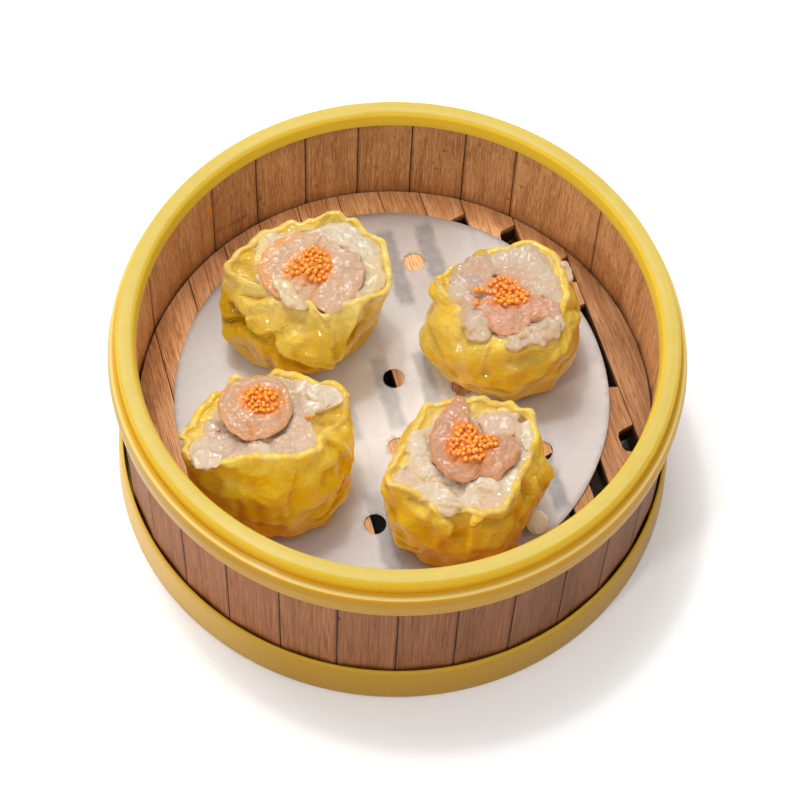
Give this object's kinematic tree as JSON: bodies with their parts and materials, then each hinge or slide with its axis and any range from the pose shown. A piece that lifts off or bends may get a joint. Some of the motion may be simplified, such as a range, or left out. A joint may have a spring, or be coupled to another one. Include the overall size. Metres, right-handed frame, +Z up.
{
  "type": "siu mai dumplings in a steamer basket",
  "caption": "Open-topped siu mai with shrimp and roe on a punched paper sheet, in a round bamboo steamer with yellow plastic rings and a slatted floor.",
  "frame": {"origin": "centre of the steamer's base, on the surface it stands on", "axes": "+Z up out of the steamer's open top; -Y towards the viewer; the floor slats run 19 degrees off Y"},
  "size_m": [0.1578, 0.1578, 0.0646],
  "materials": {
    "plastic": "semi-gloss yellow moulded plastic, slightly translucent",
    "bamboo_wall": "planed bamboo strips, fine straight grain, steam-stained",
    "bamboo_floor": "planed bamboo slats, fine straight grain",
    "paper": "thin damp baking paper, matt, slightly see-through",
    "dough": "wet glossy yellow egg dough",
    "filling": "moist pale minced filling",
    "shrimp": "glossy cooked shrimp",
    "stock": "clear set stock"
  },
  "bodies": {
    "root": {"stave_01": "bamboo_wall", "stave_02": "bamboo_wall", "stave_03": "bamboo_wall", "stave_04": "bamboo_wall", "stave_05": "bamboo_wall", "stave_06": "bamboo_wall", "stave_07": "bamboo_wall", "stave_08": "bamboo_wall", "stave_09": "bamboo_wall", "stave_10": "bamboo_wall", "stave_11": "bamboo_wall", "stave_12": "bamboo_wall", "stave_13": "bamboo_wall", "stave_14": "bamboo_wall", "stave_15": "bamboo_wall", "stave_16": "bamboo_wall", "stave_17": "bamboo_wall", "stave_18": "bamboo_wall", "stave_19": "bamboo_wall", "stave_20": "bamboo_wall", "stave_21": "bamboo_wall", "stave_22": "bamboo_wall", "stave_23": "bamboo_wall", "stave_24": "bamboo_wall", "stave_25": "bamboo_wall", "stave_26": "bamboo_wall", "stave_27": "bamboo_wall", "stave_28": "bamboo_wall", "stave_29": "bamboo_wall", "stave_30": "bamboo_wall", "slat_01": "bamboo_floor", "slat_02": "bamboo_floor", "slat_03": "bamboo_floor", "slat_04": "bamboo_floor", "slat_05": "bamboo_floor", "slat_06": "bamboo_floor", "slat_07": "bamboo_floor", "slat_08": "bamboo_floor", "slat_09": "bamboo_floor", "slat_10": "bamboo_floor", "slat_11": "bamboo_floor", "slat_12": "bamboo_floor", "rim_top": "plastic", "rim_base": "plastic", "liner": "paper", "dumpling_1_wrapper": "dough", "dumpling_1_filling": "filling", "dumpling_1_shrimp": "shrimp", "dumpling_2_wrapper": "dough", "dumpling_2_filling": "filling", "dumpling_2_shrimp": "shrimp", "dumpling_3_wrapper": "dough", "dumpling_3_filling": "filling", "dumpling_3_shrimp": "shrimp", "dumpling_4_wrapper": "dough", "dumpling_4_filling": "filling", "dumpling_4_shrimp": "shrimp", "stock_drop": "stock"}
  },
  "joints": []
}
